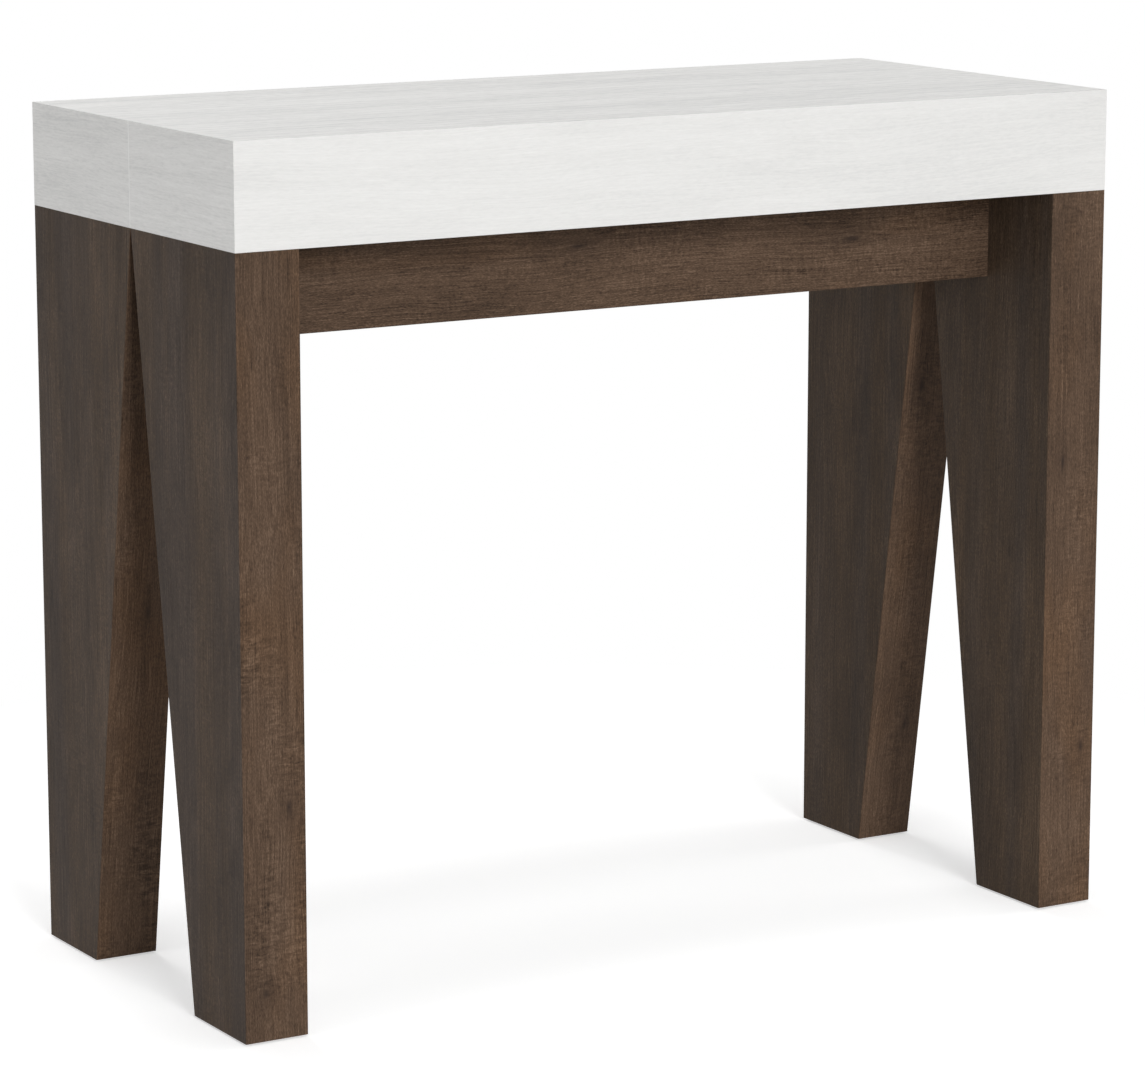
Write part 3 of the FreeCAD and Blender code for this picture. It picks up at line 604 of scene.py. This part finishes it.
# guides: aluminium rails with nylon sliders; locks: zinc levers
stages = [f"stage_{n}" for n in range(1, stageCount + 1)]
railNames = ["rear", *stages, "front"]
for side in sides:
    for rail in railNames:
        finishNode(f"{side}_{rail}_rail", aluminium)
    for stage in stages:
        finishNode(f"{side}_{stage}_sliders", nylon)
    standFor(easedCopy(f"{side}_lock_lever", zinc, leverEase), f"{side}_lock_lever")
for nodeName in ("rear_stop_pads", "front_runners"):
    finishNode(nodeName, nylon)
print("guides and locks: done")


# patterns for the fasteners, in millimetres: driving face at z = 0 and shank along +Z;
# a ring is (radius, z), and its radius may depend on the angle round the axis
def threadRings(crest, depth, low, high, pitch, rowsPerPitch=6):
    rows = max(2, round((high - low) / pitch * rowsPerPitch))
    rings = []
    for row in range(rows + 1):
        z = low + (high - low) * row / rows
        rings.append((lambda a, z=z: crest - depth * abs(2 * ((z / pitch - a / math.tau) % 1) - 1), z))
    return rings


def hexRing(limit, flats=13):
    def radius(a):
        return min(limit, flats / 2 / math.cos((a + math.pi / 6) % (math.pi / 3) - math.pi / 6))
    return radius


def flutedRing(radius=4, depth=0.25, count=12):
    return lambda a: radius - depth * max(0, math.cos(count * a)) ** 2


def lockScrewRings(shoulder):
    return [(5.4, 0), (6.5, 0.25), (7.0, 0.9), (7.0, 2.3), (6.8, 2.5), (shoulder, 2.5), (shoulder, 6.1),
            (2.4, 6.1), *threadRings(2.5, 0.6, 6.5, 19, 2.0), (1.4, 20.2), (0.3, 21.0)]


patternRings = {
    "guideScrew": [(2.7, 0), (3.8, 0.3), (4.35, 1.0), (4.5, 1.9), (4.5, 3.0), (2.1, 3.0), (2.1, 46),
                   *threadRings(2.2, 0.6, 46.4, 59, 1.8), (1.2, 60.4), (0.3, 61.4)],
    "pivotScrew": lockScrewRings(4.0),
    "strikeScrew": lockScrewRings(3.5),
    "legBolt": [(5.4, 0), (hexRing(6.2), 0), (hexRing(6.9), 0.4), (hexRing(9), 1.0), (hexRing(9), 6.0),
                (8.6, 6.0), (9.0, 6.4), (9.0, 7.7), (8.7, 8.0), (3.9, 8.0), (3.9, 40),
                *threadRings(4.0, 0.7, 40.5, 84, 2.9), (2.4, 86.5), (0.5, 88)],
    "cam": [(4.7, 0), (4.9, 0.35), (5.5, 0.35), (5.7, 0), (6.7, 0), (7.2, 0.2), (7.5, 0.7),
            (7.5, 12.1), (7.1, 12.5)],
    "camBolt": [(2.0, 0), (2.8, 0.4), (3.0, 1.0), (3.0, 2.4), (1.9, 3.0), (1.9, 6.2), (3.0, 7.0),
                (3.0, 25.5), *threadRings(3.0, 0.7, 26, 36.5, 2.2), (1.8, 37.6), (0.4, 38.4)],
    "glide": [(7.5, 0), (9.6, 0.15), (10.6, 0.55), (11.0, 1.2), (11.0, 2.0), (1.5, 2.0), (1.5, 12.5),
              (0.2, 16)],
    "peg": [(2.9, 0), (3.6, 0.45), (3.95, 1.2), (flutedRing(), 2.0), (flutedRing(), 17.5), (4.0, 18.6),
            (4.0, 21.4), (flutedRing(), 22.5), (flutedRing(), 38.0), (3.95, 38.8), (3.6, 39.55), (2.9, 40)],
}
# cross recess of each driven pattern: arm length, arm width and depth
crossRecess = {
    "guideScrew": (4.6, 0.95, 1.6),
    "pivotScrew": (6.4, 1.3, 1.5),
    "strikeScrew": (6.4, 1.3, 1.5),
    "cam": (6.6, 1.5, 2.4),
}
# shares of the arm's length and width at the mouth and at the floor of the recess
recessTaper = {"mouth": (0.56, 0.53), "floor": (0.27, 0.36), "proud": 0.3}


def turnedMesh(name, rings, segments=36):
    bm = bmesh.new()
    loops = []
    for radius, z in rings:
        loop = []
        for n in range(segments):
            a = math.tau * n / segments
            r = radius(a) if callable(radius) else radius
            loop.append(bm.verts.new((r * math.cos(a) * mm, r * math.sin(a) * mm, z * mm)))
        loops.append(loop)
    skinLoops(bm, loops)
    return meshFrom(bm, name)


# tapered cross that cuts the recess, a little proud of the face
def crossCutter(length, width, depth):
    s = recessTaper
    bm = bmesh.new()
    loops = []
    for (long, wide), z in ((s["mouth"], -s["proud"]), (s["floor"], depth)):
        reach, half = length * long, width * wide
        corner = [(reach, -half), (reach, half), (half, half)]
        outline = list(corner)
        for turn in range(3):
            corner = [(-y, x) for x, y in corner]
            outline += corner
        loops.append([bm.verts.new((x * mm, y * mm, z * mm)) for x, y in outline])
    skinLoops(bm, loops)
    return addObject("crossCutter", meshFrom(bm, "crossCutter"))


def makePattern(kind):
    pattern = addObject("pattern_" + kind, turnedMesh("pattern_" + kind, patternRings[kind]))
    if kind in crossRecess:
        cutter = crossCutter(*crossRecess[kind])
        cut = pattern.modifiers.new("recess", "BOOLEAN")
        cut.object = cutter
        cut.operation = "DIFFERENCE"
        cut.solver = "EXACT"
        mesh = plainMesh(pattern)
        pattern.modifiers.clear()
        pattern.data = mesh
        dropObject(cutter)
    return pattern


# Geometry Nodes: a pattern on every point, turned to face as the point says and spun about its own axis
rowInputs = {
    "Points": "NodeSocketGeometry",
    "Pattern": "NodeSocketObject",
    "Spin": "NodeSocketFloat",
    "Seed": "NodeSocketInt",
    "Finish": "NodeSocketMaterial",
}
rowSharpAngle = 35


def socketOf(sockets, name):
    return next(socket for socket in sockets if socket.name == name and socket.enabled)


def makeRowTree():
    tree = bpy.data.node_groups.new("fastenerRow", "GeometryNodeTree")
    for name, kind in rowInputs.items():
        tree.interface.new_socket(name, in_out="INPUT", socket_type=kind)
    tree.interface.new_socket("Geometry", in_out="OUTPUT", socket_type="NodeSocketGeometry")
    given = addNode(tree, "NodeGroupInput").outputs
    facing = fedNode(tree, "GeometryNodeInputNamedAttribute", {"Name": "facing"}, data_type="FLOAT_VECTOR")
    turned = fedNode(tree, "FunctionNodeEulerToRotation", {0: socketOf(facing.outputs, "Attribute")})
    info = fedNode(tree, "GeometryNodeObjectInfo", {"Object": given["Pattern"]})
    inputs = {"Points": given["Points"], "Instance": info.outputs["Geometry"], "Rotation": turned.outputs[0]}
    placed = fedNode(tree, "GeometryNodeInstanceOnPoints", inputs)
    chance = addNode(tree, "FunctionNodeRandomValue", data_type="FLOAT")
    for name, value in (("Min", 0.0), ("Max", given["Spin"]), ("Seed", given["Seed"])):
        feed(tree, socketOf(chance.inputs, name), value)
    angle = fedNode(tree, "ShaderNodeCombineXYZ", {"Z": socketOf(chance.outputs, "Value")})
    inputs = {"Instances": placed.outputs[0], "Rotation": angle.outputs[0]}
    spun = fedNode(tree, "GeometryNodeRotateInstances", inputs)
    real = fedNode(tree, "GeometryNodeRealizeInstances", {0: spun.outputs[0]})
    inputs = {"Geometry": real.outputs[0], "Material": given["Finish"]}
    dressed = fedNode(tree, "GeometryNodeSetMaterial", inputs)
    fedNode(tree, "NodeGroupOutput", {"Geometry": dressed.outputs[0]})
    return tree


rowTree = makeRowTree()


def layRow(name, points, pattern, spin, seed, finish):
    mesh = bpy.data.meshes.new(name + "_points")
    mesh.from_pydata([place for place, facing in points], [], [])
    turns = mesh.attributes.new("facing", "FLOAT_VECTOR", "POINT")
    for number, (place, facing) in enumerate(points):
        turns.data[number].vector = facing
    row = addObject(name, mesh)
    change = row.modifiers.new("row", "NODES")
    change.node_group = rowTree
    values = {"Pattern": pattern, "Spin": spin, "Seed": seed, "Finish": finish}
    for item in rowTree.interface.items_tree:
        if item.in_out == "INPUT" and item.name in values:
            change[item.identifier] = values[item.name]
    made = plainMesh(row)
    row.modifiers.clear()
    row.data = made
    made.name = name
    made.shade_smooth()
    made.set_sharp_from_angle(angle=math.radians(rowSharpAngle))
    bpy.data.meshes.remove(mesh)
    return row


# boxes round the separate solids of a CAD node
def solidBoxes(nodeName):
    bm = mergedCopy(nodeName)
    waiting = set(bm.verts)
    boxes = []
    while waiting:
        front = [waiting.pop()]
        found = []
        while front:
            vert = front.pop()
            found.append(vert.co.copy())
            for edge in vert.link_edges:
                other = edge.other_vert(vert)
                if other in waiting:
                    waiting.discard(other)
                    front.append(other)
        low = Vector([min(p[n] for p in found) for n in range(3)])
        high = Vector([max(p[n] for p in found) for n in range(3)])
        boxes.append((low, high))
    bm.free()
    return sorted(boxes, key=lambda box: tuple(box[0]))


# for each way to lie: the axis of the shank, the end with the driving face (0 low, 1 high), and the turn
facings = {
    "up": (2, 0, (0, 0, 0)),
    "down": (2, 1, (math.pi, 0, 0)),
    "forward": (1, 1, (math.pi / 2, 0, 0)),
    "back": (1, 0, (-math.pi / 2, 0, 0)),
    "right": (0, 0, (0, math.pi / 2, 0)),
    "left": (0, 1, (0, -math.pi / 2, 0)),
}


def seatOf(low, high, facing):
    if facing == "outwards":
        facing = "right" if low.x > 0 else "left"
    axis, end, turn = facings[facing]
    seat = (low + high) / 2
    seat[axis] = (low, high)[end][axis]
    return seat, turn


# every row of fasteners: node, pattern, how it lies, how far it may be turned, finish and slot
fastenerRows = []
for half in halves:
    camFacing = "back" if half == "rear" else "forward"
    fastenerRows += [
        (f"{half}_guide_screws", "guideScrew", "up", 1.5, zinc, "zinc_steel"),
        (f"{half}_leg_bolts", "legBolt", "down", 1.0, zinc, "zinc_steel"),
        (f"{half}_crossbar_cams", "cam", camFacing, 0.7, zinc, "zinc_steel"),
        (f"{half}_cam_bolts", "camBolt", "outwards", 3.0, zinc, "zinc_steel"),
        (f"{half}_foot_glides", "glide", "up", 3.0, darkNylon, "black_nylon"),
    ]
fastenerRows += [
    ("lock_pivot_screws", "pivotScrew", "up", 1.5, zinc, "zinc_steel"),
    ("lock_strike_screws", "strikeScrew", "up", 1.5, zinc, "zinc_steel"),
    ("alignment_pegs", "peg", "back", 3.0, nylon, "pale_nylon"),
]
patterns = {kind: makePattern(kind) for kind in patternRings}
for seed, (nodeName, kind, facing, spin, finish, slot) in enumerate(fastenerRows):
    points = [seatOf(low, high, facing) for low, high in solidBoxes(nodeName)]
    standFor(layRow("turned_" + nodeName, points, patterns[kind], spin, seed, finish), nodeName)
print("fasteners:", len(fastenerRows), "rows")

# black plugs in the open chambers at both ends of every rail, in millimetres
railPlug = {
    "flange": (12.2, 10.2, 0.9),
    "stem": (9.7, 7.7, 7.0),
    "overlap": 0.05,
    "ease": 0.5,
    "segments": 3,
    "profile": 0.5,
    "railWidth": 15,
    "railHeight": 44,
    "fromMiddle": 15.5,
}


def makePlug():
    s = railPlug
    bm = bmesh.new()
    thick, deep = s["flange"][2], s["stem"][2]
    for size, middle in ((s["flange"], -thick / 2), (s["stem"], deep / 2 - s["overlap"])):
        block = bmesh.ops.create_cube(bm, size=1)["verts"]
        bmesh.ops.scale(bm, verts=block, vec=size)
        bmesh.ops.translate(bm, verts=block, vec=(0, 0, middle))
    rim = [edge for edge in bm.edges if all(v.co.z < -thick / 2 for v in edge.verts)]
    bmesh.ops.bevel(bm, geom=rim, offset=s["ease"], segments=s["segments"], profile=s["profile"],
                    affect="EDGES")
    bmesh.ops.scale(bm, verts=bm.verts, vec=(mm, mm, mm))
    return addObject("pattern_plug", meshFrom(bm, "pattern_plug"))


patterns["plug"] = makePlug()
plugPoints = {}
halfWidth = railPlug["railWidth"] / 2 * mm
for side in sides:
    for rail in railNames:
        nodeName = f"{side}_{rail}_rail"
        low, high = solidBoxes(nodeName)[0]
        x = high.x - halfWidth if side == "left" else low.x + halfWidth
        for up in (-1, 1):
            z = low.z + (railPlug["railHeight"] / 2 + up * railPlug["fromMiddle"]) * mm
            ends = [((x, low.y, z), facings["back"][2]), ((x, high.y, z), facings["forward"][2])]
            plugPoints.setdefault(nodeBody[nodeName], []).extend(ends)
for seed, (body, points) in enumerate(plugPoints.items()):
    row = layRow("plugs_" + body, points, patterns["plug"], 0.0, seed, darkNylon)
    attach(row, body)
for pattern in patterns.values():
    dropObject(pattern)
print("rail plugs:", sum(len(points) for points in plugPoints.values()))


# studio: pale floor that keeps a soft shadow, white surroundings, and soft lamps all round,
# the strongest low in front and a little to the left
studio = {
    "floorSize": 14.0,
    "floorColour": (0.82, 0.82, 0.82, 1),
    "floorLift": 0.50,
    "shadowReach": (0.6, 1.1),
    "skyLevel": 0.24,
    "lampsAt": (0, 0, 0.45),
}
softLamps = {
    "key": {"from": (-1.9, -13.4, 4.5), "size": 5.0, "power": 1122},
    "overhead": {"from": (0, -0.4, 6.0), "size": 3.0, "power": 62},
    "left": {"from": (-7.6, -0.8, 2.8), "size": 3.0, "power": 98},
    "right": {"from": (7.6, -0.8, 2.8), "size": 3.0, "power": 112},
    "back": {"from": (0.6, 12.0, 4.5), "size": 4.0, "power": 640},
}


def seenWhite(tree):
    path = addNode(tree, "ShaderNodeLightPath").outputs
    shown = sums(tree, "MAXIMUM", path["Is Camera Ray"], path["Is Glossy Ray"])
    return sums(tree, "MAXIMUM", shown, path["Is Transmission Ray"])


def mixShaders(tree, factor, first, second):
    return fedNode(tree, "ShaderNodeMixShader", {0: factor, 1: first, 2: second}).outputs[0]


# matt with a lift near the object, white further out, and clear from below
def makeFloor():
    s = studio
    material = bpy.data.materials.new("paleFloor")
    material.use_nodes = True
    tree = material.node_tree
    tree.nodes.clear()
    matt = fedNode(tree, "ShaderNodeBsdfDiffuse", {"Color": s["floorColour"]})
    lift = sums(tree, "MULTIPLY", seenWhite(tree), s["floorLift"])
    glow = fedNode(tree, "ShaderNodeEmission", {"Strength": lift})
    near = fedNode(tree, "ShaderNodeAddShader", {0: matt.outputs[0], 1: glow.outputs[0]})
    white = addNode(tree, "ShaderNodeEmission")
    fade = spread(tree, vectorLength(tree, objectCoords(tree)), *s["shadowReach"], 0, 1)
    fade = sums(tree, "MULTIPLY", fade, seenWhite(tree))
    above = mixShaders(tree, fade, near.outputs[0], white.outputs[0])
    below = addNode(tree, "ShaderNodeBsdfTransparent").outputs[0]
    fromBelow = addNode(tree, "ShaderNodeNewGeometry").outputs["Backfacing"]
    fedNode(tree, "ShaderNodeOutputMaterial", {"Surface": mixShaders(tree, fromBelow, above, below)})
    half = s["floorSize"] / 2
    mesh = bpy.data.meshes.new("floor")
    corners = [(-half, -half, 0), (half, -half, 0), (half, half, 0), (-half, half, 0)]
    mesh.from_pydata(corners, [], [(0, 1, 2, 3)])
    mesh.materials.append(material)
    addObject("floor", mesh)


def makeSky():
    world = bpy.data.worlds.new("studio")
    world.use_nodes = True
    bpy.context.scene.world = world
    tree = world.node_tree
    background = tree.nodes["Background"]
    background.inputs["Color"].default_value = (1, 1, 1, 1)
    feed(tree, background.inputs["Strength"], spread(tree, seenWhite(tree), 0, 1, studio["skyLevel"], 1.0))


def hangLamps():
    for name, s in softLamps.items():
        lamp = bpy.data.lights.new(name, "AREA")
        lamp.shape = "DISK"
        lamp.size = s["size"]
        lamp.energy = s["power"]
        holder = addObject(name, lamp)
        holder.location = s["from"]
        aim = Vector(studio["lampsAt"]) - Vector(s["from"])
        holder.rotation_euler = aim.to_track_quat("-Z", "Y").to_euler()


makeFloor()
makeSky()
hangLamps()
bpy.context.scene.view_settings.view_transform = "Standard"

# camera at the photograph's angle, tilted a little down; angles in degrees
photoCamera = {
    "lens": 141.45,
    "sensor": 36.0,
    "yaw": -30.95,
    "pitch": 10.96,
    "place": (-2.1088, -3.5081, 1.1555),
}


def makeCamera():
    s = photoCamera
    lens = bpy.data.cameras.new("photoCamera")
    lens.lens = s["lens"]
    lens.sensor_width = s["sensor"]
    camera = addObject("photoCamera", lens)
    camera.location = s["place"]
    camera.rotation_euler = (math.radians(90 - s["pitch"]), 0, math.radians(s["yaw"]))
    bpy.context.scene.camera = camera


makeCamera()
print("studio and camera: done")
